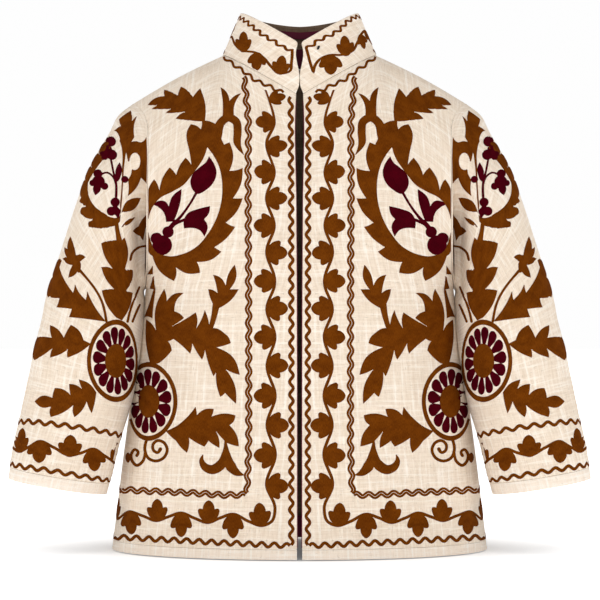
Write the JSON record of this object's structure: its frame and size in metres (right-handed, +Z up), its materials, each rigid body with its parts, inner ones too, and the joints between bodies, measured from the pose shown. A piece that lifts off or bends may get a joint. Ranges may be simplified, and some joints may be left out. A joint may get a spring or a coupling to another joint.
{
  "type": "linen jacket",
  "caption": "Hip-length A-line linen jacket, open in front, with a stand collar, set-in sleeves, banded hem and cuffs, and dense leaf and flower embroidery.",
  "frame": {"origin": "the middle of the neck opening, level with the sides of the neck seam where the wearer's shoulders carry the jacket", "axes": "+X towards the wearer's left, +Y towards the wearer's back, +Z up; the front faces -Y"},
  "size_m": [0.7458, 0.276, 0.6942],
  "materials": {
    "linen": "matte natural linen with brown embroidery",
    "maroon_cotton": "matte maroon cotton",
    "black_metal": "black lacquer"
  },
  "bodies": {
    "root": {"front_left": "linen", "front_right": "linen", "back": "linen", "sleeve_left": "linen", "sleeve_right": "linen", "collar": "linen", "hem_band_left": "linen", "hem_band_right": "linen", "hem_band_back": "linen", "cuff_band_left": "linen", "cuff_band_right": "linen", "facing_left": "maroon_cotton", "facing_right": "maroon_cotton", "hem_facing_back": "maroon_cotton", "collar_lining": "maroon_cotton", "neck_tape": "maroon_cotton", "press_stud": "black_metal"}
  },
  "joints": []
}
